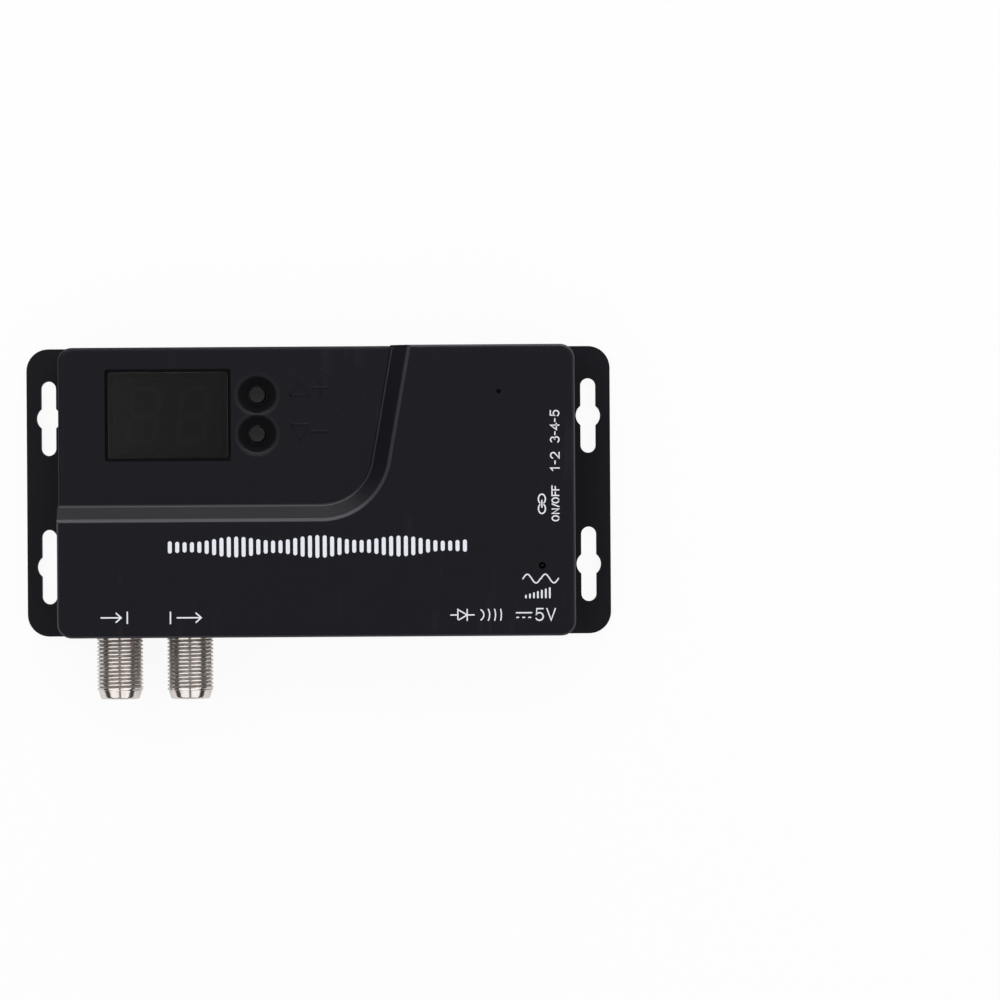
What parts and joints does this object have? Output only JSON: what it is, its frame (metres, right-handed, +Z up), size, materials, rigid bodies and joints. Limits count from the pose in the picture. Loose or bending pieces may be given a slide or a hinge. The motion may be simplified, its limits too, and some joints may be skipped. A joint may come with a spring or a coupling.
{
  "type": "rf modulator",
  "caption": "Low moulded case on a slotted flange that turns a video signal into an aerial channel, with a recessed display panel, channel buttons, slide switches and threaded aerial sockets.",
  "frame": {"origin": "middle of the flat underside of the base plate", "axes": "+X along the case from the aerial sockets' end to the power socket's end, +Y from the front wall with the aerial sockets to the rear wall with the video socket, +Z up out of the display"},
  "size_m": [0.1222, 0.073, 0.02],
  "materials": {
    "case_plastic": "satin",
    "smoked_window": "gloss",
    "button_plastic": "matte",
    "slider_plastic": "satin",
    "socket_plastic": "satin",
    "display_plastic": "satin",
    "segment_resin": "satin",
    "nickel": "polished",
    "plated_steel": "satin",
    "contact_brass": "satin",
    "core_plastic": "satin",
    "board_laminate": "satin",
    "chip_resin": "matte",
    "can_aluminium": "satin",
    "lamp_resin": "gloss"
  },
  "bodies": {
    "housing": {"top_cover": "case_plastic", "base_plate": "case_plastic", "display_window": "smoked_window", "case_screws": "plated_steel", "board_screws": "plated_steel", "circuit_board": "board_laminate", "display_module": "display_plastic", "display_segments": "segment_resin", "display_pins": "plated_steel", "channel_up_switch": "socket_plastic", "channel_down_switch": "socket_plastic", "switch_frames": "plated_steel", "switch_domes": "plated_steel", "standard_switch_body": "plated_steel", "link_switch_body": "plated_steel", "rf_in_connector": "nickel", "rf_out_connector": "nickel", "rf_in_insulator": "core_plastic", "rf_out_insulator": "core_plastic", "rf_in_contact": "contact_brass", "rf_out_contact": "contact_brass", "rf_shield_frame": "plated_steel", "rf_shield_lid": "plated_steel", "modulator_chip": "chip_resin", "video_chip": "chip_resin", "hdmi_chip": "chip_resin", "memory_chip": "chip_resin", "crystal": "plated_steel", "capacitors": "can_aluminium", "inductor": "chip_resin", "regulator": "chip_resin", "chip_resistors": "chip_resin", "hdmi_socket_shell": "plated_steel", "hdmi_socket_tongue": "socket_plastic", "hdmi_socket_contacts": "contact_brass", "usb_socket_shell": "plated_steel", "usb_socket_tongue": "socket_plastic", "ir_jack_body": "socket_plastic", "ir_jack_contacts": "contact_brass", "signal_led": "lamp_resin", "power_led": "lamp_resin", "led_leads": "plated_steel"},
    "up_button": {"channel_up_button": "button_plastic"},
    "down_button": {"channel_down_button": "button_plastic"},
    "standard_slide_part": {"standard_slider": "slider_plastic"},
    "link_slide_part": {"link_slider": "slider_plastic"}
  },
  "joints": [
    {"name": "channel_up_press", "type": "slide", "parent": "housing", "child": "up_button", "axis": [0, 0, -1], "range_m": [0, 0.0003], "stiffness_N_per_m": 2500, "springref_m": -0.0002},
    {"name": "channel_down_press", "type": "slide", "parent": "housing", "child": "down_button", "axis": [0, 0, -1], "range_m": [0, 0.0003], "stiffness_N_per_m": 2500, "springref_m": -0.0002},
    {"name": "standard_slide", "type": "slide", "parent": "housing", "child": "standard_slide_part", "axis": [0, 1, 0], "range_m": [0, 0.002]},
    {"name": "link_slide", "type": "slide", "parent": "housing", "child": "link_slide_part", "axis": [0, 1, 0], "range_m": [0, 0.002]}
  ]
}
